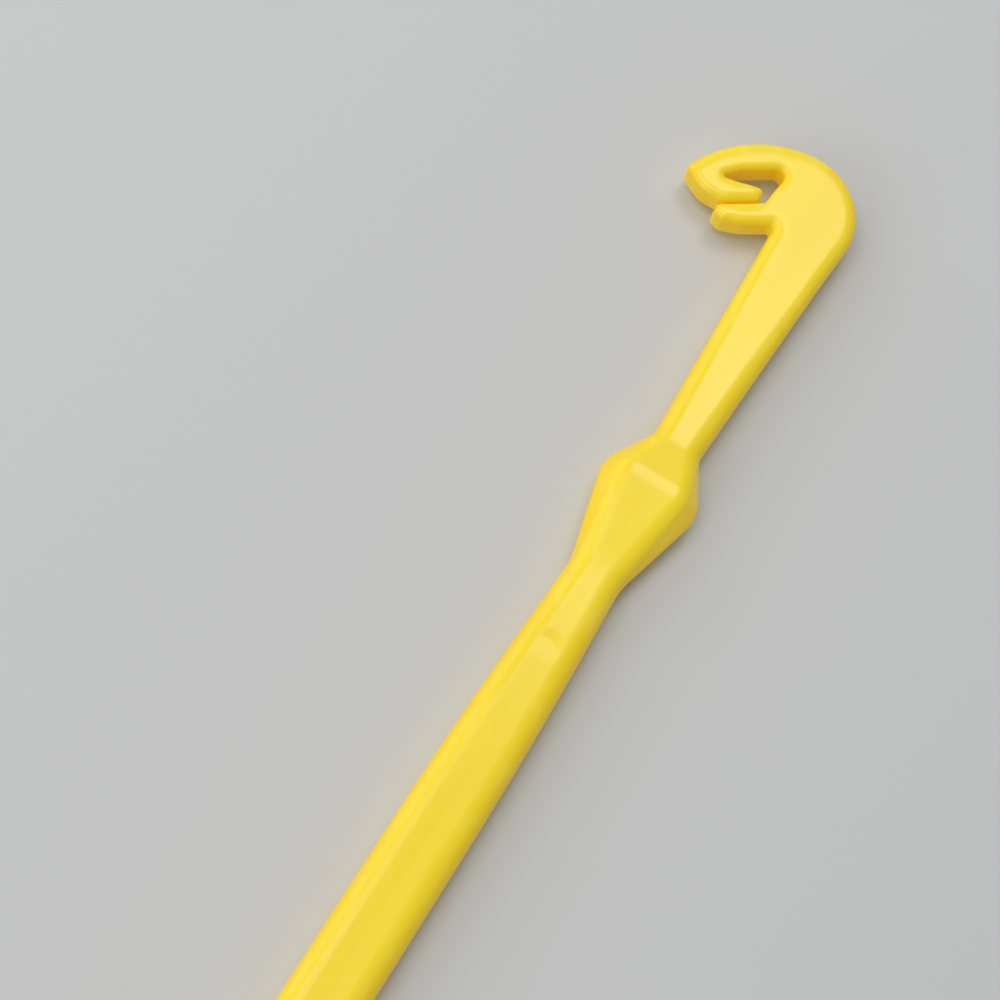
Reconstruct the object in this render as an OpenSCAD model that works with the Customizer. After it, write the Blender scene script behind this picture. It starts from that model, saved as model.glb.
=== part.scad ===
// Hook and loop tyer: a slim one-piece plastic hand tool for tying fishing hooks and loops.
// The moulding is drawn as its named regions, which meet face to face on flat cuts.
// Frame: origin at the centre of the lanyard hole, on the parting plane;
// +Y runs along the tool to the hook head, the beak points to -X, and +Z leaves the front face.

/* [Overall] */
// Length from the tail end to the top of the bow
tool_length = 160; // [130:1:200]
// Thickness of the handle, the shank and the head
body_t = 3.3; // [2.6:0.1:4.4]

/* [Handle] */
// Width of the handle
handle_w = 7.3; // [6.4:0.1:10]
// Edge radius of the handle, the neck and the shank's lower end
handle_edge_r = 1.25; // [0.8:0.05:1.3]
// Length of the tail region that holds the lanyard hole
tail_len = 12; // [8:0.5:20]
// Radius of the lanyard hole
hole_r = 1.5; // [1:0.1:2]
// Length over which the handle narrows to the neck
flare_len = 22; // [14:1:30]
// Width of the neck below the grip
neck_w = 5.6; // [4.6:0.1:6.6]

/* [Grip] */
// Width of the finger grip at its widest
grip_w = 10.4; // [9:0.1:13]
// Thickness of the finger grip at its ridge
grip_t = 4.8; // [4.4:0.1:6]
// Width of the flat on the grip's ridge
ridge_w = 4.6; // [3:0.1:6]
// Length of the grip's upper taper
upper_taper = 5.1; // [4:0.1:8]
// Length of the grip's lower taper
lower_taper = 10.6; // [8:0.1:16]
// Length of the blunt land along the grip's ridge
ridge_land = 1.2; // [0.6:0.1:2]
// Corner radius of the grip's ridge section
grip_edge_r = 0.7; // [0.3:0.1:0.9]

/* [Shank] */
// Length from the grip to the bow's centre
shank_len = 28.7; // [24:0.1:36]
// Width of the shank at the grip
shank_low_w = 5.3; // [4.4:0.1:6.2]
// Width of the shank at the bow's centre
shank_top_w = 7.6; // [7:0.1:9]

/* [Head] */
// Outer radius of the bow beside and above the eye
bow_r = 7.1; // [6:0.1:9]
// Outer radius of the crown, from the top of the bow to the beak
crown_r = 12.75; // [11:0.05:15]
// Edge radius around the head
head_edge_r = 0.55; // [0.3:0.05:0.55]
// Slope of the slit, from straight across the tool
slit_angle = 37; // [33:1:40]
// Width of the slit between the tongues
slit_gap = 0.3; // [0.25:0.05:0.5]
// Distance from the bow's centre line out to the slit's mouth
mouth_out = 6.1; // [5.8:0.05:7]
// Distance from the bow's centre down to the slit's mouth
mouth_down = 3.7; // [2.8:0.05:4]
// Width of the lower tongue behind its tip
lower_tongue_w = 2.35; // [1.9:0.05:2.9]
// Height of the eye above the lower tongue
eye_h = 3.75; // [3.2:0.05:4.2]
// Distance from the bow's centre line out to the eye's straight wall
eye_wall_out = 2.1; // [1.8:0.05:2.6]
// Gap between the upper tongue's tip and the eye's straight wall
tip_gap = 1.0; // [0.9:0.05:1.6]
// Thickness of the upper tongue at its tip
tip_w = 1.2; // [1:0.05:1.5]

/* [Hidden] */
$fn = 48;
yellow = "gold";
slice = 0.02;
bow_steps = 32;
crown_steps = 16;
corner_steps = 5;
edge_steps = 12;

// Stations along the tool
tail_r = handle_w / 2;
grip_top_y = tool_length - tail_r - bow_r - shank_len;
ridge_y = grip_top_y - upper_taper;
neck_y = ridge_y - lower_taper;
flare_y = neck_y - flare_len;
bow_y = grip_top_y + shank_len;
bow_x = shank_top_w / 2 - bow_r;
shank_slope = (shank_top_w - shank_low_w) / 2 / shank_len;

// Half of the shank's width at a station
function shank_half(y) = shank_low_w / 2 + shank_slope * (y - grip_top_y);

// Head places: the slit's mouth, and a point s along the slit and t above its lower side
mouth = [bow_x - mouth_out, bow_y - mouth_down];
slit_dir = [cos(slit_angle), sin(slit_angle)];
slit_up = [-sin(slit_angle), cos(slit_angle)];
function slit_pt(s, t) = mouth + s * slit_dir + t * slit_up;
eye_wall_x = bow_x - eye_wall_out;
tip_x = eye_wall_x - tip_gap;
// How far along the slit the line at height t reaches the place x
function slit_s(x, t) = (x - slit_pt(0, t).x) / slit_dir.x;

// The crown touches the bow from inside, a little left of the top
bow_start_angle = -2;
crown_angle = 100;
nose_angle = 158;
crown_step = 3;
crown_c = [bow_x, bow_y] - (crown_r - bow_r) * [cos(crown_angle), sin(crown_angle)];
crown_end = crown_c + crown_r * [cos(nose_angle), sin(nose_angle)];
nose_len = 1.35;
nose = crown_end + nose_len * [-sin(nose_angle), cos(nose_angle)];
belly = slit_pt(-1.85, 1.75);
beak_point = slit_pt(0.1, slit_gap);
eye_apex = slit_pt(-0.47, eye_h);

// How far the lower tongue reaches out past the slit's mouth
tip_reach = 0.62;

// Rounding in plan of each corner of the hook, in the order in which its outline meets them
nose_r = 1;
belly_r = 4;
beak_point_r = 1.5;
upper_tip_r = [0.35, 0.6];
eye_apex_r = 0.25;
eye_wall_r = [0.6, 0.35];
mouth_r = 0.3;
lower_tip = [slit_pt(-0.9, -0.38 * lower_tongue_w), slit_pt(-0.2, -0.74 * lower_tongue_w),
             slit_pt(1.9, -lower_tongue_w)];
lower_tip_r = [0.6, 0.8, 3];
root_r = 0.3;

// Corner of the lower tongue and the shank's left edge: the tongue is thicker here than at its tip
root_t = -lower_tongue_w - 0.1;
root_below_bow = 2.3;
root_pt = slit_pt(slit_s(-shank_half(bow_y - root_below_bow), root_t), root_t);

// Where the regions meet: the throat starts below the root, and its plan runs on below that cut
throat_below_root = 3.2;
throat_y = root_pt.y - throat_below_root;
run_on = 3;
plan_end_y = throat_y - run_on;
// The bow starts above its centre, where the throat's right side ends
bow_cut_y = bow_y + 2.5;
// The beak and the upper tongue are cut across the slit, inside the solid above the eye
beak_cut_s = 3.3;
tongue_cut_s = 2;
// The eye's wall leans out by this much down to its foot on the slit, and the cuts pass through the open
// eye and through the slit's middle
eye_wall_lean = 0.4;
eye_wall_foot = slit_pt(slit_s(eye_wall_x - eye_wall_lean, 0), 0);
tip_mid_x = (tip_x + eye_wall_x - eye_wall_lean) / 2;
mid_gap = slit_gap / 2;
eye_low_y = bow_y - 0.3;
tongue_side_y = bow_cut_y - 0.8;
tongue_top_t = eye_h - 0.1;
bow_side_t = eye_h - 0.5;
clear = 1;
reach = 20;
// Box around the lower tongue, along and across the slit
lower_box_s = [-3, 4];
lower_box_foot = [3, -4];

// Points along an arc about c, from angle a0 to a1
function arc(c, r, a0, a1, n) =
    [for (i = [0:n]) let (a = a0 + (a1 - a0) * i / n) c + r * [cos(a), sin(a)]];

// Fillet of radius r at the corner b of the path a, b, c, as an arc of n steps
function fillet(a, b, c, r, n) =
    let (u = (a - b) / norm(a - b),
         v = (c - b) / norm(c - b),
         half = acos(u * v) / 2,
         m = (u + v) / norm(u + v),
         centre = b + m * r / sin(half),
         p = b + u * r / tan(half) - centre,
         q = b + v * r / tan(half) - centre,
         a0 = atan2(p.y, p.x),
         turn = atan2(p.x * q.y - p.y * q.x, p * q))
    arc(centre, r, a0, a0 + turn, n);

// A path with each inner corner [place, radius] rounded, and its two ends left as they are
function rounded(path, n) =
    [for (i = [0:len(path) - 1])
        each i == 0 || i == len(path) - 1 ? [path[i][0]]
            : fillet(path[i - 1][0], path[i][0], path[i + 1][0], path[i][1], n)];

// Corners from the nose of the beak, round the tongues and the eye, to the shank's left edge
hook_corners = [
    [crown_end, 0],
    [nose, nose_r],
    [belly, belly_r],
    [beak_point, beak_point_r],
    [slit_pt(slit_s(tip_x, slit_gap), slit_gap), upper_tip_r[0]],
    [slit_pt(slit_s(tip_x, slit_gap + tip_w), slit_gap + tip_w), upper_tip_r[1]],
    [eye_apex, eye_apex_r],
    [slit_pt(slit_s(eye_wall_x, eye_h), eye_h), eye_wall_r[0]],
    [eye_wall_foot, eye_wall_r[1]],
    [slit_pt(-tip_reach, 0), mouth_r],
    [lower_tip[0], lower_tip_r[0]],
    [lower_tip[1], lower_tip_r[1]],
    [lower_tip[2], lower_tip_r[2]],
    [root_pt, root_r],
    [[-shank_half(plan_end_y), plan_end_y], 0]];

// Plan of the head, with its shank end run on below the throat's cut
module head_plan() {
    polygon(concat(
        arc([bow_x, bow_y], bow_r, bow_start_angle, crown_angle, bow_steps),
        arc(crown_c, crown_r, crown_angle + crown_step, nose_angle, crown_steps),
        rounded(hook_corners, corner_steps),
        [[shank_half(plan_end_y), plan_end_y]]));
}

// The head as one plate with its edges rounded all round
module head_plate() {
    core_t = body_t - 2 * head_edge_r;
    minkowski() {
        translate([0, 0, -core_t / 2])
            linear_extrude(core_t) offset(delta = -head_edge_r) head_plan();
        sphere(r = head_edge_r, $fn = edge_steps);
    }
}

// The part of the head plate that stands over a region of the plan
module head_region() {
    intersection() {
        head_plate();
        translate([0, 0, -body_t]) linear_extrude(2 * body_t) children();
    }
}

// Everything from s0 to s1 along the slit and from t0 to t1 above its lower side
module slit_box(s0, s1, t0, t1) {
    polygon([slit_pt(s0, t0), slit_pt(s1, t0), slit_pt(s1, t1), slit_pt(s0, t1)]);
}

// Section across the tool: a rectangle with rounded corners
module section(w, t, r) {
    square([w - 2 * r, t], center = true);
    square([w, t - 2 * r], center = true);
    for (x = [-1, 1], y = [-1, 1])
        translate([x * (w / 2 - r), y * (t / 2 - r)]) circle(r);
}

// Section of the grip at its ridge: a long hexagon with rounded corners
module ridge_section() {
    hull()
        for (side = [-1, 1]) {
            translate([side * (grip_w / 2 - grip_edge_r), 0]) circle(grip_edge_r);
            for (face = [-1, 1])
                translate([side * ridge_w / 2, face * (grip_t / 2 - grip_edge_r)]) circle(grip_edge_r);
        }
}

// Stand a section upright across the tool, filling from y to y + len
module across(y, len) {
    translate([0, y + len, 0]) rotate([90, 0, 0]) linear_extrude(len) children();
}

module handle_end() {
    color(yellow)
    difference() {
        union() {
            across(0, tail_len) section(handle_w, body_t, handle_edge_r);
            rotate([0, 0, 180]) rotate_extrude(angle = 180)
                intersection() {
                    section(handle_w, body_t, handle_edge_r);
                    translate([0, -body_t]) square([handle_w, 2 * body_t]);
                }
        }
        translate([0, 0, -body_t]) cylinder(h = 2 * body_t, r = hole_r);
    }
}

module handle_blade() {
    color(yellow)
    across(tail_len, flare_y - tail_len) section(handle_w, body_t, handle_edge_r);
}

module handle_neck() {
    color(yellow)
    hull() {
        across(flare_y, slice) section(handle_w, body_t, handle_edge_r);
        across(neck_y - slice, slice) section(neck_w, body_t, handle_edge_r);
    }
}

module grip_lower_taper() {
    color(yellow)
    hull() {
        across(neck_y, slice) section(neck_w, body_t, handle_edge_r);
        across(ridge_y - ridge_land / 2, ridge_land / 2) ridge_section();
    }
}

module grip_upper_taper() {
    color(yellow)
    hull() {
        across(ridge_y, ridge_land / 2) ridge_section();
        across(grip_top_y - slice, slice) section(shank_low_w, body_t, handle_edge_r);
    }
}

module shank() {
    color(yellow)
    hull() {
        across(grip_top_y, slice) section(shank_low_w, body_t, handle_edge_r);
        across(throat_y - slice, slice) section(2 * shank_half(throat_y), body_t, head_edge_r);
    }
}

module head_throat() {
    color(yellow)
    head_region()
        polygon([[-shank_half(throat_y) - clear, throat_y], root_pt, eye_wall_foot,
                 [tip_mid_x, eye_low_y], [tip_mid_x, bow_cut_y], [bow_x + reach, bow_cut_y],
                 [bow_x + reach, throat_y]]);
}

module hook_bow() {
    color(yellow)
    head_region()
        polygon([slit_pt(beak_cut_s, bow_side_t), slit_pt(beak_cut_s, reach), [bow_x, bow_y + reach],
                 [bow_x + reach, bow_y + reach], [bow_x + reach, bow_cut_y], [tip_mid_x, bow_cut_y]]);
}

module hook_beak() {
    color(yellow)
    head_region()
        difference() {
            slit_box(-reach, beak_cut_s, mid_gap, reach);
            slit_box(tongue_cut_s, beak_cut_s + clear, 0, tongue_top_t);
        }
}

module upper_tongue() {
    color(yellow)
    head_region()
        polygon([slit_pt(tongue_cut_s, mid_gap), slit_pt(slit_s(tip_mid_x, mid_gap), mid_gap),
                 [tip_mid_x, tongue_side_y], slit_pt(tongue_cut_s, tongue_top_t)]);
}

module lower_tongue() {
    color(yellow)
    head_region()
        polygon([root_pt, eye_wall_foot, slit_pt(lower_box_s[1], mid_gap), slit_pt(lower_box_s[0], mid_gap),
                 slit_pt(lower_box_s[0], lower_box_foot[1]), slit_pt(lower_box_foot[0], lower_box_foot[1])]);
}

handle_end();
handle_blade();
handle_neck();
grip_lower_taper();
grip_upper_taper();
shank();
head_throat();
hook_bow();
hook_beak();
upper_tongue();
lower_tongue();
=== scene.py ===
import math

import bpy
import numpy as np
from mathutils import Matrix, Vector
from mathutils.geometry import delaunay_2d_cdt


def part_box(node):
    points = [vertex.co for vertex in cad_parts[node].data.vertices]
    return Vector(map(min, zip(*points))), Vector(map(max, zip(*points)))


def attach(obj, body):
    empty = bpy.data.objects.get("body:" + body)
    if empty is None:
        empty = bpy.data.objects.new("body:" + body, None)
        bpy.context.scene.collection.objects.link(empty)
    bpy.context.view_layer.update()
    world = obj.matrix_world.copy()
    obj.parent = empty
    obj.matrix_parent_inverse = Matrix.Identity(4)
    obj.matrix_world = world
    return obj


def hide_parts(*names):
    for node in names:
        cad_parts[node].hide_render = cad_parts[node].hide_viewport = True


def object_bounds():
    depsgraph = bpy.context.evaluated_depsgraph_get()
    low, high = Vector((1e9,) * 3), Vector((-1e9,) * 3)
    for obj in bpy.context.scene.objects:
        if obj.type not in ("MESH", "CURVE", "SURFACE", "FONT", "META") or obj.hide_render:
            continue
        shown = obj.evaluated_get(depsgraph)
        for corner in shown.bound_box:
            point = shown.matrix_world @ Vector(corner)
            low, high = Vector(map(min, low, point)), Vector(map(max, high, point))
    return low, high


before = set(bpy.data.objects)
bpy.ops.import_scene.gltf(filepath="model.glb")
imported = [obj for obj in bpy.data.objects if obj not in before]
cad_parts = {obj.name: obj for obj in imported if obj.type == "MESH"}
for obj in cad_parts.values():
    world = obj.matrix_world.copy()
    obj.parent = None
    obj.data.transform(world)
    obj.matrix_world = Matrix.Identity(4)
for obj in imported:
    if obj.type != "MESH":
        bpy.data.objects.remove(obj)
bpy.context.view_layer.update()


# Handle blade: the long flat bar that lies in the fingers, moulded in one shot with the rest of the
# tool in a glossy yellow plastic. Both flats run into rounded sides, the flats sink by a hair where
# the plastic is thickest, and a fine bead from the mould's parting line runs round the mid-plane.
MM = 0.001
# Each row is a place along the tool, how far its bend reaches, and the value there, in millimetres
BAR_HALF_WIDTH = np.array([(0, 1, 3.65), (79, 5, 3.65), (88, 5, 3.5), (98.3, 4, 3.1), (104.85, 1.2, 2.78),
                           (115.3, 1.6, 5.48), (120.55, 0.5, 2.6), (150.55, 1, 3.852)])
BAR_HALF_DEPTH = np.array([(0, 1, 1.65), (105.9, 1.6, 1.65), (114.95, 0.35, 2.42), (115.95, 0.35, 2.42),
                           (120.35, 0.6, 1.65), (143, 1, 1.65)])
BAR_EDGE_RADIUS = np.array([(0, 1, 1.5), (98.3, 4, 1.5), (104.85, 1, 1.45), (115.4, 1, 1.3),
                            (120.55, 1, 1.35), (130, 3, 1.3), (142, 1, 1.05)])
BAR_FLAT_HALF = np.array([(0, 1, 2.11), (79, 5, 2.11), (88, 5, 1.96), (98.3, 4, 1.56), (104.85, 1, 1.22),
                          (115.4, 0.8, 2.8), (120.55, 0.6, 1.2), (130, 3, 1.68), (142, 1, 2.413),
                          (150, 1, 2.734)])
# The side's radius about the mid-plane, and the share of the edge's radius that its arc is stretched by
SIDE_RADIUS = 0.6
SOFTEN = 0.35
# The parting line's bead: how far it stands out, and half of its height
BEAD_OUT = 0.03
BEAD_HALF = 0.085
# How far the flats sink, and the run over which they do
SINK = 0.02
SINK_RUN = 2.4
# The ejector pin's mark on the front: its middle, radius, depth and soft wall, and the height it needs
MARK_PLACE = (-0.5, 95.5)
MARK_RADIUS = 1.5
MARK_DEPTH = 0.06
MARK_WALL = 1.1
MARK_OVER = 0.6
# The glossy yellow: its colours, a painted shade that deepens it towards the sides, and its wear, finish and
# painted glow
DEEP_YELLOW = (0.84, 0.56, 0.005, 1)
PALE_YELLOW = (0.90, 0.70, 0.022, 1)
RUBBED_YELLOW = (0.93, 0.78, 0.13, 1)
# Painted glow: a faint deep yellow emission over the whole plastic that lifts its shaded walls; it is no lamp
PAINTED_GLOW_COLOUR, PAINTED_GLOW_STRENGTH = (1.0, 0.6, 0.0, 1), 0.13
SWIRL_SHARE, CLOUD_SHARE, PALE_SHARE = 0.8, 0.5, 0.2
# Painted shade: past this nearness to an edge the sides are mixed towards the deep yellow, and this fast, as
# shade on them
PAINTED_SHADE_FROM, PAINTED_SHADE_DEEPER = 0.45, 1.3
WORN_FROM, WORN_FULL, WORN_TINT, WORN_ROUGH = 0.52, 0.72, 0.35, 0.12
GLOSS_ROUGH, CLOUD_ROUGH, SCRATCH_ROUGH = 0.20, 0.06, 0.06
PEEL_RISE, SCRATCH_RISE, SWIRL_RISE = 0.4, 0.35, 1.5
RELIEF_STRENGTH, RELIEF_HEIGHT = 0.16, 0.00006
PLASTIC_IOR = 1.5
# Each grain's fineness, its stretch on the three axes, its detail and its roughness
SWIRL_GRAIN = (260.0, (1.0, 0.18, 1.0), 3.0, 0.55)
CLOUD_GRAIN = (90.0, (1.0, 0.5, 1.0), 2.0, 0.5)
SCRATCH_GRAIN = (2600.0, (1.0, 0.03, 1.0), 2.0, 0.6)
PEEL_GRAIN = (1400.0, (1.0, 1.0, 1.0), 2.0, 0.5)
WEAR_GRAIN = (700.0, (1.0, 0.35, 1.0), 4.0, 0.65)
# The shares of the quarter section's flat, arc, straight side and side arc at which it has points
FLAT_STEPS = np.linspace(0, 1, 17)
ARC_STEPS = np.linspace(0, 1, 11)[1:]
SIDE_STEPS = np.array([0.25, 0.5, 0.7, 0.85, 1.0])
NIB_STEPS = np.array([0.5, 1.0])


def ease(t):
    """A step from 0 to 1 with level ends: three t squared less two t cubed, held to 0 and 1 outside."""
    t = np.clip(t, 0, 1)
    return t * t * (3 - 2 * t)


def along_bar(rows, y):
    """A chain of straight slopes through the rows' values. Each corner is a parabola that starts and ends
    one bend from it."""
    places, bends, values = rows.T
    slopes = np.diff(values) / np.diff(places)
    turns = np.diff(np.concatenate([[0.0], slopes, [0.0]]))
    out = np.full(np.shape(y), values[0], float)
    for place, turn, bend in zip(places, turns, bends):
        share = np.clip((y - place + bend) / (2 * bend), 0, 1)
        out += turn * (bend * share**2 + np.maximum(y - place - bend, 0))
    return out


def sink_at(inward):
    """How far a flat has sunk at a distance inward from its border: an eased step up to the full sink."""
    return SINK * ease(inward / SINK_RUN)


def quarter_section(half_width, half_depth, edge_radius, flat_half):
    """A quarter of a section across the bar, from the middle of the front to the parting line: a flat, an
    arc that is stretched inward so that it leaves the flat softly, the straight side, the side's arc
    about the mid-plane, and the bead, which fades with height."""
    side = half_width - BEAD_OUT - SIDE_RADIUS
    high = half_depth - edge_radius
    apart = side - flat_half
    lean = np.arccos((edge_radius - SIDE_RADIUS) / np.hypot(apart, high)) - np.arctan2(high, apart)
    flat_end = flat_half - SOFTEN * edge_radius
    flat_x = flat_end * FLAT_STEPS
    flat_z = half_depth - sink_at(flat_end - flat_x)
    arc_angle = np.pi / 2 + (lean - np.pi / 2) * ARC_STEPS
    arc_x = flat_end + edge_radius * (1 + SOFTEN / np.cos(lean)) * np.cos(arc_angle)
    arc_z = high + edge_radius * np.sin(arc_angle)
    side_x = arc_x[:, -1:] + (side + SIDE_RADIUS * np.cos(lean) - arc_x[:, -1:]) * SIDE_STEPS
    side_z = arc_z[:, -1:] + (SIDE_RADIUS * np.sin(lean) - arc_z[:, -1:]) * SIDE_STEPS
    nib_angle = lean * (1 - NIB_STEPS)
    nib_x = side + SIDE_RADIUS * np.cos(nib_angle)
    nib_z = SIDE_RADIUS * np.sin(nib_angle)
    x = np.hstack([flat_x, arc_x, side_x, nib_x])
    z = np.hstack([flat_z, arc_z, side_z, nib_z])
    return x + BEAD_OUT * (1 - ease(z / BEAD_HALF)), z


def bar_rings(y):
    """Closed rings across the bar at the places y: the quarter section mirrored to all four sides, with
    the ejector pin's round mark pressed into the front."""
    tables = (BAR_HALF_WIDTH, BAR_HALF_DEPTH, BAR_EDGE_RADIUS, BAR_FLAT_HALF)
    x, z = quarter_section(*(along_bar(rows, y)[:, None] for rows in tables))
    x = np.hstack([x, x[:, -2::-1], -x[:, 1:], -x[:, -2:0:-1]])
    z = np.hstack([z, -z[:, -2::-1], -z[:, 1:], z[:, -2:0:-1]])
    tall = np.broadcast_to(y[:, None], x.shape)
    off = np.hypot(x - MARK_PLACE[0], tall - MARK_PLACE[1])
    tilt = ease(0.5 + 0.5 * (tall - MARK_PLACE[1]) / MARK_RADIUS)
    z = z - MARK_DEPTH * tilt * ease((MARK_RADIUS + MARK_WALL / 2 - off) / MARK_WALL) * (z > MARK_OVER)
    return np.stack([x, tall, z], -1)


def ring_normals(y):
    """Outward directions on the rings: the way round a ring crossed with the way along the bar."""
    nudge = 0.01
    rings = bar_rings(y)
    around = np.roll(rings, -1, 1) - np.roll(rings, 1, 1)
    out = np.cross(around, bar_rings(y + nudge) - bar_rings(y - nudge))
    return out / np.linalg.norm(out, axis=-1, keepdims=True)


class Wire:
    """A socket of a material's nodes. Sums, differences and products of wires and numbers add Math nodes."""

    def __init__(self, tree, socket=None):
        self.tree, self.socket = tree, socket

    def add(self, kind, settings, sockets, out=0):
        """Adds a node of a kind: its settings first, a ramp's stops among them, then the values or wires
        of its sockets."""
        node = self.tree.nodes.new("ShaderNode" + kind)
        for name, value in settings.items():
            if name == "stops":
                for stop, (place, colour) in zip(node.color_ramp.elements, value):
                    stop.position, stop.color = place, (*colour, 1)
            else:
                setattr(node, name, value)
        for name, value in sockets.items():
            if isinstance(value, Wire):
                self.tree.links.new(value.socket, node.inputs[name])
            else:
                node.inputs[name].default_value = value
        return Wire(self.tree, node.outputs[out]) if node.outputs else None

    def maths(self, operation, first, second):
        return self.add("Math", {"operation": operation}, {0: first, 1: second})

    def __add__(self, other):
        return self.maths("ADD", self, other)

    def __radd__(self, other):
        return self.maths("ADD", other, self)

    def __sub__(self, other):
        return self.maths("SUBTRACT", self, other)

    def __rsub__(self, other):
        return self.maths("SUBTRACT", other, self)

    def __mul__(self, other):
        return self.maths("MULTIPLY", self, other)

    def __rmul__(self, other):
        return self.maths("MULTIPLY", other, self)


def yellow_plastic():
    """Glossy yellow plastic: long pale swirls from the melt's flow, a painted shade that turns the sides an
    oranger yellow, edges rubbed paler and duller, fine scratches along the tool, a faint orange peel, and a
    painted glow, a faint emission that lifts the shaded walls as light through the plastic would."""
    material = bpy.data.materials.new("yellow_plastic")
    material.use_nodes = True
    tree = material.node_tree
    tree.nodes.clear()
    start = Wire(tree)
    place = start.add("TexCoord", {}, {}, out="Object")
    edge = start.add("Attribute", {"attribute_name": "edge"}, {}, out="Fac")

    def grain(scale, stretch, detail, roughness):
        spot = start.add("Mapping", {}, {"Vector": place, "Scale": stretch})
        return start.add("TexNoise", {}, {"Vector": spot, "Scale": scale, "Detail": detail,
                                          "Roughness": roughness})

    swirl = grain(*SWIRL_GRAIN)
    cloud = grain(*CLOUD_GRAIN)
    scratch = grain(*SCRATCH_GRAIN)
    peel = grain(*PEEL_GRAIN)
    wear = grain(*WEAR_GRAIN)
    worn = start.add("ValToRGB", {"stops": [(WORN_FROM, (0, 0, 0)), (WORN_FULL, (1, 1, 1))]}, {"Fac": wear})
    worn = worn * edge * (1.0 - edge) * 4.0
    # Painted shade: near the edges the colour is pushed towards the deep yellow, an oranger tone that stands
    # in for the shade on the sides
    painted_side_shade = start.maths("MAXIMUM", edge - PAINTED_SHADE_FROM, 0.0) * PAINTED_SHADE_DEEPER
    paler = swirl * SWIRL_SHARE + cloud * CLOUD_SHARE + PALE_SHARE - painted_side_shade
    body = start.add("Mix", {"data_type": "RGBA"}, {"Factor": paler, "A": DEEP_YELLOW, "B": PALE_YELLOW},
                     out="Result")
    colour = start.add("Mix", {"data_type": "RGBA"}, {"Factor": worn * WORN_TINT, "A": body,
                                                      "B": RUBBED_YELLOW}, out="Result")
    rough = GLOSS_ROUGH + cloud * CLOUD_ROUGH + scratch * SCRATCH_ROUGH + worn * WORN_ROUGH
    height = peel * PEEL_RISE + scratch * SCRATCH_RISE + swirl * SWIRL_RISE
    bump = start.add("Bump", {}, {"Strength": RELIEF_STRENGTH, "Distance": RELIEF_HEIGHT, "Height": height},
                     out="Normal")
    # The emission is a painted glow that lifts the shaded walls
    shader = start.add("BsdfPrincipled", {}, {"Base Color": colour, "Roughness": rough, "Normal": bump,
                                              "IOR": PLASTIC_IOR, "Emission Color": PAINTED_GLOW_COLOUR,
                                              "Emission Strength": PAINTED_GLOW_STRENGTH})
    start.add("OutputMaterial", {}, {"Surface": shader})
    return material


yellow = yellow_plastic()


def put_piece(node, points, faces, corner_normals, edge):
    """Makes the mesh of a piece in metres, with its corner normals and how near each point is to an edge, and
    puts it in place of its node."""
    mesh = bpy.data.meshes.new(node + "_moulding")
    mesh.from_pydata((points * MM).tolist(), [], faces)
    mesh.attributes.new("edge", "FLOAT", "POINT").data.foreach_set("value", edge.astype(np.float32))
    mesh.materials.append(yellow)
    mesh.shade_smooth()
    mesh.normals_split_custom_set(corner_normals.tolist())
    piece = bpy.data.objects.new(node + "_moulding", mesh)
    bpy.context.scene.collection.objects.link(piece)
    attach(piece, "root")
    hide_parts(node)
    return piece


def bar_piece(node, y):
    """A length of the bar: rings at the places y joined by quads, with a flat cap on each end ring."""
    rings, normals = bar_rings(y), ring_normals(y)
    count = rings.shape[1]
    along, around = np.meshgrid(np.arange(len(y) - 1), np.arange(count), indexing="ij")
    following = (around + 1) % count
    quads = np.stack([along * count + around, along * count + following,
                      (along + 1) * count + following, (along + 1) * count + around], -1).reshape(-1, 4)
    end_cap = np.arange(count) + (len(y) - 1) * count
    start_cap = np.arange(count)[::-1]
    corners = np.concatenate([normals.reshape(-1, 3)[quads.ravel()],
                              np.tile([0.0, -1.0, 0.0], (count, 1)), np.tile([0.0, 1.0, 0.0], (count, 1))])
    flat = (along_bar(BAR_FLAT_HALF, y) - SOFTEN * along_bar(BAR_EDGE_RADIUS, y))[:, None]
    wide = along_bar(BAR_HALF_WIDTH, y)[:, None]
    edge = np.clip((np.abs(rings[..., 0]) - flat) / (wide - flat), 0, 1).ravel()
    faces = quads.tolist() + [start_cap.tolist(), end_cap.tolist()]
    return put_piece(node, rings.reshape(-1, 3), faces, corners, edge)


def cuts_of(node):
    """The places along the tool, in millimetres, where a node starts and ends."""
    low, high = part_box(node)
    return low.y / MM, high.y / MM


BLADE_RINGS = 120
blade_start, blade_end = cuts_of("handle_blade")
bar_piece("handle_blade", np.linspace(blade_start, blade_end, BLADE_RINGS))


# Handle neck: the bar narrows here towards the grip. It is part of the same moulding, and its front
# keeps the round, slightly sunk mark of the ejector pin that pushed the tool out of the mould.
RINGS_TO_MARK, RINGS_OVER_MARK, RINGS_PAST_MARK = 30, 48, 40
neck_start, neck_end = cuts_of("handle_neck")
mark_low, mark_high = MARK_PLACE[1] - MARK_RADIUS - MARK_WALL, MARK_PLACE[1] + MARK_RADIUS + MARK_WALL
bar_piece("handle_neck", np.concatenate([np.linspace(neck_start, mark_low, RINGS_TO_MARK, endpoint=False),
                                         np.linspace(mark_low, mark_high, RINGS_OVER_MARK, endpoint=False),
                                         np.linspace(mark_high, neck_end, RINGS_PAST_MARK)]))


# Finger grip, lower taper: flat facets spread from the neck to the ridge, so that a wet thumb finds
# the tool's front. It is moulded with the rest, and its corners are softened by polish and handling.
LOWER_TAPER_RINGS = 110
bar_piece("grip_lower_taper", np.linspace(*cuts_of("grip_lower_taper"), LOWER_TAPER_RINGS))


# Finger grip, upper taper: the short steep facets from the blunt ridge down to the shank, in the
# same moulding.
UPPER_TAPER_RINGS = 80
bar_piece("grip_upper_taper", np.linspace(*cuts_of("grip_upper_taper"), UPPER_TAPER_RINGS))


# Shank: the slim bar between the grip and the hook, widening evenly towards the head, with nearly
# half-round sides. It is moulded in one with both.
SHANK_RINGS = 110
bar_piece("shank", np.linspace(*cuts_of("shank"), SHANK_RINGS))


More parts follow.
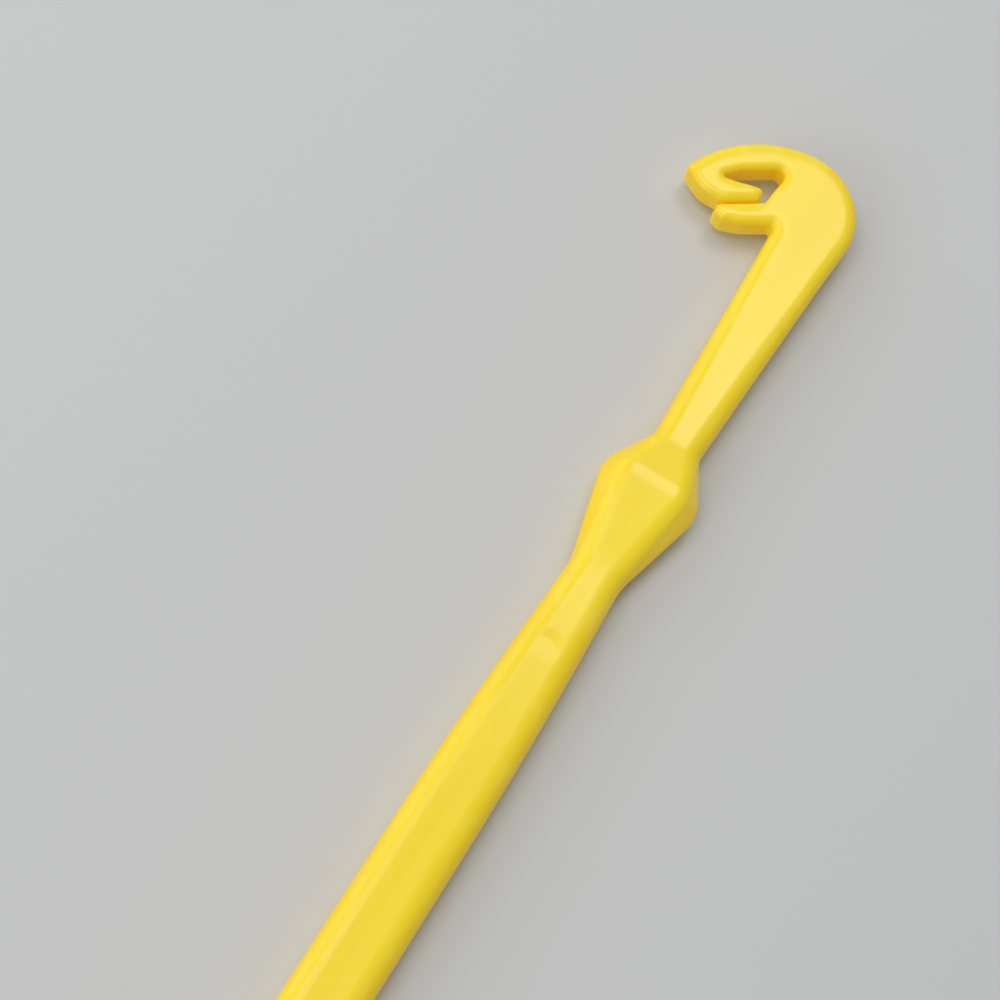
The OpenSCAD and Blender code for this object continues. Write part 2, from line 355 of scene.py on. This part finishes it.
# Handle end: the rounded tail of the handle with the hole for a lanyard, moulded as one plate with
# the handle. The hole's rims are broken by a small radius.
# How finely a plate's outline, flats, edge rows and cuts are divided, in millimetres
OUTLINE_STEP = 0.11
OUTLINE_TURN = math.radians(7)
FILL_STEP, FILL_ROW, FILL_CLEAR = 0.36, 0.866, 0.4
FINE_ROWS_TO, ROW_SLACK, ROW_HAIR = 0.35, 0.97, 0.0005
CUT_STEP, CUT_SAMPLE, CUT_OVERRUN = 0.25, 0.004, 0.02
ON_WALL = 1e-4
# Crests: the slope under which a face is on one, how many faces it spreads over, its least distance from the
# walls and from the cuts to the bar, how long heat spreads over it, in how many rounds, and a round's limit
CREST_SLOPE, CREST_SPREAD, CREST_DEPTH, CREST_CUT_GAP = 0.86, 3, 0.3, 1
CREST_TIME, CREST_ROUNDS, CREST_PACE = 0.03, 200, 0.6
HOLE_RADIUS = 1.5
HOLE_RIM = 0.3
HALF_DEPTH = 1.65
EDGE_DRAFT = 0.045
TAIL_EDGE = 1.5
WALL_RUN_ON = 3.0


def arc_path(centre, radius, start, stop):
    """Points on a circle about a centre, from one angle in degrees to another, a short step apart."""
    sweep = math.radians(stop - start)
    count = max(2, math.ceil(abs(sweep) / min(OUTLINE_TURN, OUTLINE_STEP / radius)))
    angle = math.radians(start) + sweep * np.linspace(0, 1, count + 1)
    return np.array(centre) + radius * np.stack([np.cos(angle), np.sin(angle)], -1)


def run_path(start, stop):
    """Points on a straight run, a short step apart."""
    start, stop = np.array(start, float), np.array(stop, float)
    count = max(1, round(np.linalg.norm(stop - start) / OUTLINE_STEP))
    return start + (stop - start) * np.linspace(0, 1, count + 1)[:, None]


def one_path(*parts):
    """Parts laid end to end, without their shared points."""
    points = np.concatenate(parts)
    step = np.linalg.norm(np.diff(points, axis=0), axis=1)
    return points[np.concatenate([[True], step > ON_WALL])]


def away_from(path, spots):
    """The shortest distance from each spot to a path of straight steps: the spot is dropped on every step's
    line, held between the step's ends."""
    start, step = path[:-1], np.diff(path, axis=0)
    gap = spots[:, None, :] - start
    share = np.clip((gap * step).sum(-1) / (step**2).sum(-1), 0, 1)
    return np.sqrt((((gap - share[..., None] * step)) ** 2).sum(-1)).min(1)


def within(loop, spots):
    """Whether each spot is inside a closed loop: a line from it crosses the loop an odd number of times."""
    x0, y0 = loop.T
    x1, y1 = np.roll(loop, -1, 0).T
    px, py = spots[:, :1], spots[:, 1:]
    crosses = (y0 > py) != (y1 > py)
    rise = np.where(y1 == y0, 1, y1 - y0)
    return (crosses & (px < x0 + (py - y0) * (x1 - x0) / rise)).sum(1) % 2 == 1


class Plate:
    """A flat part of the moulding, seen in plan. The front's height is a function of the distance from
    the walls, given by an edge profile for each wall, and the back mirrors the front."""

    def __init__(self, loops, walls, fixed, cuts):
        self.loops, self.walls, self.fixed = loops, walls, fixed
        spots, ties = [], []
        for loop in loops:
            first = sum(len(s) for s in spots)
            spots.append(loop)
            ring = np.arange(len(loop)) + first
            ties.append(np.stack([ring, np.roll(ring, -1)], -1))
        for cut in cuts:
            line = self.cut_line(*cut)
            first = sum(len(s) for s in spots)
            spots.append(line)
            chain = np.arange(len(line)) + first
            ties.append(np.stack([chain[:-1], chain[1:]], -1))
        spots.append(self.filling())
        found = delaunay_2d_cdt([Vector(s) for s in np.concatenate(spots)], np.concatenate(ties).tolist(),
                                [], 0, 1e-6)
        self.spots = np.array([tuple(s) for s in found[0]])
        faces = np.array(found[2])
        middle = self.spots[faces].mean(1)
        on_wall = self.depth_in(self.spots) < ON_WALL
        faces = faces[self.inside(middle) & ~on_wall[faces].all(1)]
        a, b, c = (self.spots[faces[:, k]] for k in range(3))
        turned = (b[:, 0] - a[:, 0]) * (c[:, 1] - a[:, 1]) < (b[:, 1] - a[:, 1]) * (c[:, 0] - a[:, 0])
        faces[turned] = faces[turned][:, ::-1]
        self.faces = faces
        self.middle = self.spots[faces].mean(1)
        self.heights()
        self.directions()

    def inside(self, spots):
        """Whether each spot is in the plate: in an odd number of its loops."""
        return sum(within(loop, spots).astype(int) for loop in self.loops) % 2 == 1

    def depth_in(self, spots):
        """The distance from each spot to the nearest wall."""
        return np.min([away_from(path, spots) for path, _, _ in self.walls], axis=0)

    def cut_line(self, start, stop):
        """Points along the straight cut from start to stop, where it runs in the plate: one at each depth
        that is a step of a wall's profile, others between them, and a short overrun at both ends."""
        start, stop = np.array(start), np.array(stop)
        length = np.linalg.norm(stop - start)
        along = np.arange(0, length, CUT_SAMPLE)
        line = start + (stop - start) * (along / length)[:, None]
        use = self.inside(line)
        along, depth = along[use], self.depth_in(line[use])
        profile = np.unique(np.round(np.concatenate([outs for _, outs, _ in self.walls]), 2))[1:]
        peak = depth.argmax()
        rise = np.interp(profile[profile < depth[peak]], depth[:peak + 1], along[:peak + 1])
        fall = np.interp(profile[profile < depth[peak]], depth[peak:][::-1], along[peak:][::-1])
        level = np.arange(rise.max(), fall.min(), CUT_STEP)[1:-1]
        stops = np.concatenate([[along[0] - CUT_OVERRUN], rise, level, fall, [along[-1] + CUT_OVERRUN]])
        return start + (stop - start) * (np.unique(np.round(stops, 3)) / length)[:, None]

    def filling(self):
        """Points between the walls: rows that follow each wall at the steps of its profile, thinner further
        in, and a plain grid of offset rows where the plate is flat."""
        spots = []
        for path, outs, _ in self.walls:
            way = np.gradient(path, axis=0)
            way /= np.linalg.norm(way, axis=1, keepdims=True)
            inward = np.stack([-way[:, 1], way[:, 0]], -1)
            for out in outs[1:]:
                row = (path + inward * out)[1:: 1 if out < FINE_ROWS_TO else 2]
                spots.append(row[self.depth_in(row) > out * ROW_SLACK - ROW_HAIR])
        low, high = self.loops[0].min(0), self.loops[0].max(0)
        gx, gy = np.meshgrid(np.arange(low[0], high[0], FILL_STEP),
                             np.arange(low[1], high[1], FILL_STEP * FILL_ROW))
        gx = gx + FILL_STEP / 2 * (np.arange(len(gy)) % 2)[:, None]
        grid = np.stack([gx.ravel(), gy.ravel()], -1)
        clear = np.min([away_from(path, grid) - outs[-1] for path, outs, _ in self.walls], axis=0)
        spots.append(grid[clear > FILL_STEP * FILL_CLEAR])
        spots = np.concatenate(spots)
        spots = spots[self.inside(spots)]
        low, high = self.fixed
        return spots[(spots[:, 1] > low + CUT_OVERRUN) & (spots[:, 1] < high - CUT_OVERRUN)]

    def heights(self):
        """The front's height over each spot: the lowest that any wall's profile allows, less the sink."""
        depth = np.array([away_from(path, self.spots) for path, _, _ in self.walls])
        depth[depth < ON_WALL] = 0
        rounded = np.array([np.interp(d, outs, ups) for d, (_, outs, ups) in zip(depth, self.walls)])
        inward = np.min([d - outs[-1] for d, (_, outs, _) in zip(depth, self.walls)], axis=0)
        self.z = rounded.min(0) - sink_at(inward)
        nearness = [np.clip(1 - d / outs[-1], 0, 1) for d, (_, outs, _) in zip(depth, self.walls)]
        self.edge = np.max(nearness, axis=0)
        self.soften_crests(depth.min(0))

    def soften_crests(self, depth):
        """Rounds the crest where two edges meet before either is level: there the distance to the walls
        grows less than the way in, and the heights spread there as heat does. A neighbour's pull is the sum
        of the cotangents of the two corners that face it, which leaves even slopes as they are."""
        a, b, c = (self.spots[self.faces[:, k]] for k in range(3))
        da, db, dc = (depth[self.faces[:, k]] for k in range(3))
        area = (b[:, 0] - a[:, 0]) * (c[:, 1] - a[:, 1]) - (b[:, 1] - a[:, 1]) * (c[:, 0] - a[:, 0])
        slope_x = ((db - da) * (c[:, 1] - a[:, 1]) - (dc - da) * (b[:, 1] - a[:, 1])) / area
        slope_y = ((dc - da) * (b[:, 0] - a[:, 0]) - (db - da) * (c[:, 0] - a[:, 0])) / area
        on_crest = np.zeros(len(self.spots), bool)
        on_crest[self.faces[np.hypot(slope_x, slope_y) < CREST_SLOPE]] = True
        for _ in range(CREST_SPREAD):
            touched = self.faces[on_crest[self.faces].any(1)]
            on_crest[touched] = True
        tall = self.spots[:, 1]
        low, high = self.fixed
        on_crest &= (depth > CREST_DEPTH) & (tall < high - CREST_CUT_GAP) & (tall > low + CREST_CUT_GAP)
        ties, pulls = [], []
        for k in range(3):
            corner, left, right = (self.spots[self.faces[:, (k + m) % 3]] for m in range(3))
            u, v = left - corner, right - corner
            ties.append(self.faces[:, [(k + 1) % 3, (k + 2) % 3]])
            pulls.append((u * v).sum(1) / np.abs(u[:, 0] * v[:, 1] - u[:, 1] * v[:, 0]))
        first, second, pull = *np.concatenate(ties).T, np.concatenate(pulls)
        count = len(self.spots)
        total = np.bincount(first, pull, count) + np.bincount(second, pull, count)
        share = np.bincount(self.faces.ravel(), np.repeat(np.abs(area) / 6, 3), count)
        pace = np.minimum(CREST_PACE, CREST_TIME / CREST_ROUNDS * 0.5 * total[on_crest] / share[on_crest])
        for _ in range(CREST_ROUNDS):
            around = np.bincount(first, pull * self.z[second], count)
            around += np.bincount(second, pull * self.z[first], count)
            self.z[on_crest] += pace * (around[on_crest] / total[on_crest] - self.z[on_crest])

    def directions(self):
        """Outward directions: the faces' normals summed at each spot by their corner angles."""
        solid = np.column_stack([self.spots, self.z])
        a, b, c = (solid[self.faces[:, k]] for k in range(3))
        tiny = 1e-12
        out = np.cross(b - a, c - a)
        out /= np.maximum(np.linalg.norm(out, axis=1, keepdims=True), tiny)
        self.normals = np.zeros_like(solid)
        for k, (p, q, r) in enumerate(((a, b, c), (b, c, a), (c, a, b))):
            u, v = q - p, r - p
            lengths = np.maximum(np.linalg.norm(u, axis=1) * np.linalg.norm(v, axis=1), tiny)
            angle = np.arccos(np.clip((u * v).sum(1) / lengths, -1, 1))
            np.add.at(self.normals, self.faces[:, k], out * angle[:, None])
        self.normals[self.z <= 0, 2] = 0
        self.normals /= np.maximum(np.linalg.norm(self.normals, axis=1, keepdims=True), tiny)

    def match_ring(self, y, rings, normals):
        """Takes the heights and directions on the cut at y from the bar's ring there, so that both join."""
        cut = np.abs(self.spots[:, 1] - y) < ON_WALL
        front = rings[:, 2] >= 0
        order = np.argsort(rings[front, 0])
        wide, known = rings[front, 0][order], np.column_stack([rings[:, 2], normals])[front][order]
        self.z[cut] = np.interp(self.spots[cut, 0], wide, known[:, 0])
        for k in range(3):
            self.normals[cut, k] = np.interp(self.spots[cut, 0], wide, known[:, k + 1])

    def piece(self, node, mine):
        """The closed mesh of the faces that are mine: the front, the mirrored back, and a flat wall along
        each cut."""
        faces = self.faces[mine]
        used = np.unique(faces)
        front = np.full(len(self.spots), -1)
        front[used] = np.arange(len(used))
        raised = used[self.z[used] > 0]
        back = front.copy()
        back[raised] = len(used) + np.arange(len(raised))
        points = np.concatenate([np.column_stack([self.spots[used], self.z[used]]),
                                 np.column_stack([self.spots[raised], -self.z[raised]])])
        sides = np.concatenate([faces[:, [0, 1]], faces[:, [1, 2]], faces[:, [2, 0]]])
        key = np.sort(sides, axis=1)
        _, place, times = np.unique(key, axis=0, return_index=True, return_counts=True)
        rim = sides[place[times == 1]]
        rim = rim[(self.z[rim] > 0).any(1)]
        polygons = front[faces].tolist() + back[faces][:, ::-1].tolist()
        way = self.spots[rim[:, 1]] - self.spots[rim[:, 0]]
        out = np.column_stack([way[:, 1], -way[:, 0], np.zeros(len(way))])
        out /= np.linalg.norm(way, axis=1)[:, None]
        wall = np.stack([front[rim[:, 1]], front[rim[:, 0]], back[rim[:, 0]], back[rim[:, 1]]], -1)
        always = np.ones(len(rim), bool)
        apart = np.stack([always, always, wall[:, 2] != wall[:, 1], wall[:, 3] != wall[:, 0]], -1)
        polygons += [row[keep].tolist() for row, keep in zip(wall, apart)]
        corner = np.concatenate([self.normals[faces.ravel()],
                                 self.normals[faces[:, ::-1].ravel()] * [1, 1, -1],
                                 np.repeat(out, apart.sum(1), axis=0)])
        edge = np.concatenate([self.edge[used], self.edge[raised]])
        return put_piece(node, points, polygons, corner, edge)


def edge_profile(radius):
    """An edge of a plate of the bar's depth, as distances in from the wall and heights over the mid-plane."""
    half = 9.0
    x, z = quarter_section(*np.array([half, HALF_DEPTH, radius, half - radius - EDGE_DRAFT])[:, None, None])
    first = len(FLAT_STEPS) - 1
    return (half - x[0, first:])[::-1], z[0, first:][::-1]


def cut_ring(y):
    """The bar's ring and its directions at one place, and the ring's front half from left to right."""
    ring, normals = bar_rings(np.array([y]))[0], ring_normals(np.array([y]))[0]
    front = ring[ring[:, 2] >= 0]
    return ring, normals, front[np.argsort(front[:, 0])][:, :2]


tail_ring, tail_normals, tail_line = cut_ring(blade_start)
tail_radius = tail_line[-1, 0]
tail_outs, tail_ups = edge_profile(TAIL_EDGE)
# The hole's edge: a bore with a hair of draft up to its rim, then a quarter round
RIM_STEPS, BORE_DRAFT, BORE_HALF_DRAFT = 7, 0.02, 0.012
rim_angle = np.linspace(0, np.pi / 2, RIM_STEPS)
rim_outs = HOLE_RIM * (1 - np.cos(rim_angle))
rim_ups = tail_ups[-1] - HOLE_RIM * (1 - np.sin(rim_angle))
rim_outs = np.concatenate([[0, BORE_HALF_DRAFT], BORE_DRAFT + rim_outs])
rim_ups = np.concatenate([[0, 0.5 * rim_ups[0]], rim_ups])
wall_end = blade_start + WALL_RUN_ON
tail_wall = one_path(run_path((tail_radius, wall_end), (tail_radius, blade_start)),
                     run_path((tail_radius, blade_start), (tail_radius, 0))[1:],
                     arc_path((0, 0), tail_radius, 0, -180),
                     run_path((-tail_radius, 0), (-tail_radius, blade_start)),
                     run_path((-tail_radius, blade_start), (-tail_radius, wall_end)))[::-1]
tail_loop = tail_wall[tail_wall[:, 1] < blade_start - ON_WALL]
tail_loop = np.concatenate([tail_loop, tail_line[::-1]])
hole_wall = arc_path((0, 0), HOLE_RADIUS, 360, 0)
tail = Plate([tail_loop, hole_wall[:-1]], [(tail_wall, tail_outs, tail_ups), (hole_wall, rim_outs, rim_ups)],
             (-math.inf, blade_start), [])
tail.match_ring(blade_start, tail_ring, tail_normals)
tail.piece("handle_end", np.ones(len(tail.faces), bool))


# Hook head: one plate of the moulding with well-rounded edges. The throat carries the shank into the
# bow over the eye, the beak runs on from the bow to a blunt nose, and two tongues lie edge to edge
# along the slit that guides the line into the eye.
BOW_CENTRE = np.array([-3.3, 149.25])
BOW_RADIUS = 7.2
BOW_START = -2
CROWN_RADIUS = 12.9
CROWN_ANGLE, NOSE_ANGLE = 100.0, 158.0
NOSE_RUN = 1.35
SLIT_ANGLE = math.radians(37)
SLIT_GAP = 0.3
# The mouth of the slit on the lower tongue, from which the head's other corners are laid out
MOUTH = np.array([-9.4, 145.55])
LOWER_WIDTH, LOWER_TIP_ALONG = 2.35, -0.62
ROOT_DROP, ROOT_BELOW_BOW = 0.1, 2.3
EYE_HIGH, APEX_DROP, APEX_ALONG = 3.83, 0.5, 0.5
EYE_WALL_X = -5.4
EYE_FOOT_X = -5.8
TIP_X = -6.4
TIP_WIDE = 1.2
# Edge radii round the outside to the nose, on under the upper tongue, over it, in the eye, down its
# wall, over the lower tongue, under it and down the shank
HEAD_EDGES = (1.05, 0.8, 0.45, 0.68, 0.3, 0.22, 0.75, 1.05)
# Where the edge radius changes, it does so over a run, in small steps
EDGE_RUN, EDGE_STEP = 1.3, 0.025
# The cuts between the regions: over the bow's middle, and along the slit for the beak and the tongue,
# and how far each runs past the walls
BOW_CUT_OVER, BEAK_CUT, TONGUE_CUT = 2.5, 3.3, 2.0
BOW_CUT_TO_X, BEAK_CUT_TO, ROOT_CUT_PAST, FOOT_CUT_PAST = 9, 12, 0.02, 0.1
ROOT_SLACK = 0.05
# The shank widens by a total of 2.3 over a length of 28.7
SHANK_SLOPE = 2.3 / 2 / 28.7
SHANK_LOW_HALF, SHANK_LOW_Y = 2.65, 120.55
slit_way = np.array([math.cos(SLIT_ANGLE), math.sin(SLIT_ANGLE)])
slit_up = np.array([-slit_way[1], slit_way[0]])


def by_slit(s, t):
    """The point s along the slit from its mouth and t above its lower side."""
    return MOUTH + s * slit_way + t * slit_up


def slit_at(x, t):
    """The point at height t above the slit's lower side that has the given x."""
    return by_slit((x - by_slit(0, t)[0]) / slit_way[0], t)


def shank_half(y):
    """Half of the shank's width at a place along it."""
    return SHANK_LOW_HALF + SHANK_SLOPE * (y - SHANK_LOW_Y)


def rounded_path(corners, radii):
    """Straight runs between corners, with an arc that touches both runs at each inner corner."""
    parts, last = [], corners[0]
    for before, corner, after, radius in zip(corners[:-2], corners[1:-1], corners[2:], radii):
        u = (before - corner) / np.linalg.norm(before - corner)
        v = (after - corner) / np.linalg.norm(after - corner)
        half = math.acos(u @ v) / 2
        centre = corner + (u + v) / np.linalg.norm(u + v) * radius / math.sin(half)
        first, end = corner + u * radius / math.tan(half), corner + v * radius / math.tan(half)
        start = math.degrees(math.atan2(*(first - centre)[::-1]))
        turn = math.degrees(math.atan2(*(end - centre)[::-1])) - start
        parts += [run_path(last, first), arc_path(centre, radius, start, start + (turn + 180) % 360 - 180)]
        last = end
    return one_path(*parts, run_path(last, corners[-1]))


def stepped_walls(path, places, radii):
    """The path in stretches, each with its edge profile. The edge radius is level between the places where it
    changes and a straight slope in the path's length across each of them, rounded to small steps."""
    along = np.concatenate([[0], np.cumsum(np.linalg.norm(np.diff(path, axis=0), axis=1))])
    ends = (along[places][:, None] + np.array([-0.5, 0.5]) * EDGE_RUN).ravel()
    radius = np.interp((along[1:] + along[:-1]) / 2, ends, np.repeat(radii, 2)[1:-1])
    radius = np.round(radius / EDGE_STEP) * EDGE_STEP
    changes = np.flatnonzero(np.abs(np.diff(radius)) > EDGE_STEP / 2) + 1
    return [(path[first:last + 1], *edge_profile(radius[first]))
            for first, last in zip([0, *changes], [*changes, len(radius)])]


throat_y = cuts_of("head_throat")[0]
run_out = throat_y - WALL_RUN_ON
crown_turn, nose_turn = math.radians(CROWN_ANGLE), math.radians(NOSE_ANGLE)
crown_way = np.array([math.cos(crown_turn), math.sin(crown_turn)])
crown_centre = BOW_CENTRE - (CROWN_RADIUS - BOW_RADIUS) * crown_way
nose_way = np.array([-math.sin(nose_turn), math.cos(nose_turn)])
crown_end = crown_centre + CROWN_RADIUS * np.array([nose_way[1], -nose_way[0]])
nose = crown_end + NOSE_RUN * nose_way
tongue_top = slit_at(TIP_X, SLIT_GAP + TIP_WIDE)
eye_apex = by_slit(APEX_ALONG, EYE_HIGH - APEX_DROP)
eye_corner, eye_foot = slit_at(EYE_WALL_X, EYE_HIGH), slit_at(EYE_FOOT_X, 0)
lower_tip = by_slit(LOWER_TIP_ALONG, 0)
root = slit_at(-shank_half(BOW_CENTRE[1] - ROOT_BELOW_BOW), -LOWER_WIDTH - ROOT_DROP)
# The corners from the nose round to the tongue's root, each with its radius in plan
corners = [(nose, 1.0),
           (by_slit(-1.95, 1.75), 4.0),               # the beak's belly
           (by_slit(0.1, SLIT_GAP), 2.0),             # where the beak meets the slit
           (slit_at(TIP_X, SLIT_GAP), 0.35),          # the upper tongue's blunt tip
           (tongue_top, 0.6),
           (eye_apex, 0.16),                          # the eye's narrow end, its arch and its wall
           (by_slit(2.6, EYE_HIGH), 2.0),
           (eye_corner, 0.7),
           (eye_foot, 0.35),
           (lower_tip, 0.3),                          # the lower tongue's blunt tip
           (by_slit(-0.9, -0.9), 0.6),
           (by_slit(-0.2, -1.75), 0.8),
           (by_slit(1.9, -LOWER_WIDTH), 5.0),         # its underside and its root
           (root, 0.3)]
spots, radii = zip(*corners)
hook_path = rounded_path([crown_end, *spots, np.array([-shank_half(run_out), run_out])], radii)
bow_turn = math.radians(BOW_START)
bow_foot = BOW_CENTRE + BOW_RADIUS * np.array([math.cos(bow_turn), math.sin(bow_turn)])
head_wall = one_path(run_path((shank_half(run_out), run_out), (shank_half(throat_y), throat_y)),
                     run_path((shank_half(throat_y), throat_y), bow_foot),
                     arc_path(BOW_CENTRE, BOW_RADIUS, BOW_START, CROWN_ANGLE),
                     arc_path(crown_centre, CROWN_RADIUS, CROWN_ANGLE, NOSE_ANGLE), hook_path)
throat_ring, throat_normals, throat_line = cut_ring(throat_y)
breaks = [nose, slit_at(TIP_X, SLIT_GAP + TIP_WIDE / 2), (tongue_top + eye_apex) / 2,
          (eye_corner + eye_foot) / 2, eye_foot, lower_tip, root]
places = [int(np.linalg.norm(head_wall - spot, axis=1).argmin()) for spot in breaks]
head_walls = stepped_walls(head_wall, places, HEAD_EDGES)
head_loop = np.concatenate([head_wall[head_wall[:, 1] > throat_y + 10 * ON_WALL], throat_line])
root_wall = head_wall[places[-1]]
root_way = root_wall - eye_foot
tip_middle = (EYE_WALL_X + TIP_X) / 2
bow_cut_y = BOW_CENTRE[1] + BOW_CUT_OVER
bow_cut = ((tip_middle, bow_cut_y), (BOW_CUT_TO_X, bow_cut_y))
beak_cut = (by_slit(BEAK_CUT, EYE_HIGH - APEX_DROP), by_slit(BEAK_CUT, BEAK_CUT_TO))
tongue_cut = (by_slit(TONGUE_CUT, SLIT_GAP / 2), by_slit(TONGUE_CUT, EYE_HIGH - APEX_DROP))
root_cut = (root_wall + root_way * ROOT_CUT_PAST, eye_foot - root_way * FOOT_CUT_PAST)
head = Plate([head_loop], head_walls, (throat_y, math.inf), [bow_cut, beak_cut, tongue_cut, root_cut])
head.match_ring(throat_y, throat_ring, throat_normals)
x, y = head.middle.T
s, t = (head.middle - MOUTH) @ slit_way, (head.middle - MOUTH) @ slit_up
left_of_root = root_way[0] * (y - eye_foot[1]) < root_way[1] * (x - eye_foot[0])
over_root = t > (root_wall - MOUTH) @ slit_up - ROOT_SLACK
lower = (t < SLIT_GAP / 2) & left_of_root & over_root
upper = ~lower & (x < tip_middle) & (s > TONGUE_CUT) & (t < EYE_HIGH - APEX_DROP)
throat = ~lower & ~upper & (x > tip_middle) & (y < bow_cut_y)
beak = ~lower & ~upper & ~throat & (s < BEAK_CUT)
bow = ~(lower | upper | throat | beak)
for node, mine in (("head_throat", throat), ("hook_bow", bow), ("hook_beak", beak),
                   ("upper_tongue", upper), ("lower_tongue", lower)):
    head.piece(node, mine)


# Floor: a plain pale sheet, painted matt, that lies flat just under the tool. It is not part of the
# tool, and nothing is fixed to it.
FLOOR_REACH, FLOOR_GAP = 3.0, 0.0001
FLOOR_COLOUR, FLOOR_ROUGH = (0.62, 0.62, 0.61, 1), 0.7
floor_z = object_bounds()[0][2] - FLOOR_GAP
floor_corners = [(x * FLOOR_REACH, y * FLOOR_REACH, floor_z) for x, y in ((-1, -1), (1, -1), (1, 1), (-1, 1))]
floor_mesh = bpy.data.meshes.new("floor")
floor_mesh.from_pydata(floor_corners, [], [(0, 1, 2, 3)])
floor = bpy.data.objects.new("floor", floor_mesh)
bpy.context.scene.collection.objects.link(floor)
floor_paint = bpy.data.materials.new("floor_pale")
floor_paint.use_nodes = True
floor_paint.node_tree.nodes["Principled BSDF"].inputs["Base Color"].default_value = FLOOR_COLOUR
floor_paint.node_tree.nodes["Principled BSDF"].inputs["Roughness"].default_value = FLOOR_ROUGH
floor_mesh.materials.append(floor_paint)


# Light: a soft grey room and five round panels: one beyond and over the head, one at the beak's side,
# one overhead, a wide one low behind the head, and one low from the handle's side.
ROOM_COLOUR, ROOM_STRENGTH = (0.93, 0.96, 1.0, 1), 0.30
PANELS_AIM = Vector((0.0, 0.11, 0.0))
# Each panel's name, the way to it, its distance and width in metres, and its power in watts
PANELS = (("panel_beyond", (-0.05, 0.45, 0.89), 0.7, 0.28, 0.85),
          ("panel_side", (-0.9, 0.25, 0.42), 0.6, 0.55, 0.8),
          ("panel_over", (-0.3, -0.1, 0.95), 0.8, 0.5, 1.45),
          ("panel_back", (-0.25, 0.95, 0.35), 0.7, 0.8, 0.7),
          ("panel_low", (-0.45, -0.8, 0.45), 0.7, 0.6, 1.4))
world = bpy.data.worlds.new("room")
bpy.context.scene.world = world
world.use_nodes = True
world.node_tree.nodes["Background"].inputs["Color"].default_value = ROOM_COLOUR
world.node_tree.nodes["Background"].inputs["Strength"].default_value = ROOM_STRENGTH
for name, way, far, size, power in PANELS:
    lamp = bpy.data.lights.new(name, "AREA")
    lamp.shape, lamp.size, lamp.energy = "DISK", size, power
    lamp_object = bpy.data.objects.new(name, lamp)
    bpy.context.scene.collection.objects.link(lamp_object)
    lamp_object.location = PANELS_AIM + Vector(way).normalized() * far
    lamp_object.rotation_euler = Vector(way).to_track_quat("Z", "Y").to_euler()
bpy.context.scene.view_settings.view_transform = "Standard"


# Camera: close over the front of the grip, with the tool leaning to the right as it rises to the hook.
# It stands free, and it looks from the handle's side towards the head.
CAMERA_PLACE = Vector((0.0, 0.04064, 0.17979))
CAMERA_AIM = Vector((-0.01155, 0.10606, 0.0))
CAMERA_UPRIGHT = Vector((-0.5360, 0.7816, 0.3189))
CAMERA_LENS, CAMERA_SENSOR = 72.0, 36.0
CAMERA_NEAR, CAMERA_FAR = 0.005, 50.0
camera = bpy.data.cameras.new("camera")
camera.lens, camera.sensor_width = CAMERA_LENS, CAMERA_SENSOR
camera.clip_start, camera.clip_end = CAMERA_NEAR, CAMERA_FAR
camera_object = bpy.data.objects.new("camera", camera)
bpy.context.scene.collection.objects.link(camera_object)
back = (CAMERA_PLACE - CAMERA_AIM).normalized()
right = CAMERA_UPRIGHT.cross(back).normalized()
up = back.cross(right)
turn = Matrix((right, up, back)).transposed()
camera_object.matrix_world = Matrix.Translation(CAMERA_PLACE) @ turn.to_4x4()
bpy.context.scene.camera = camera_object
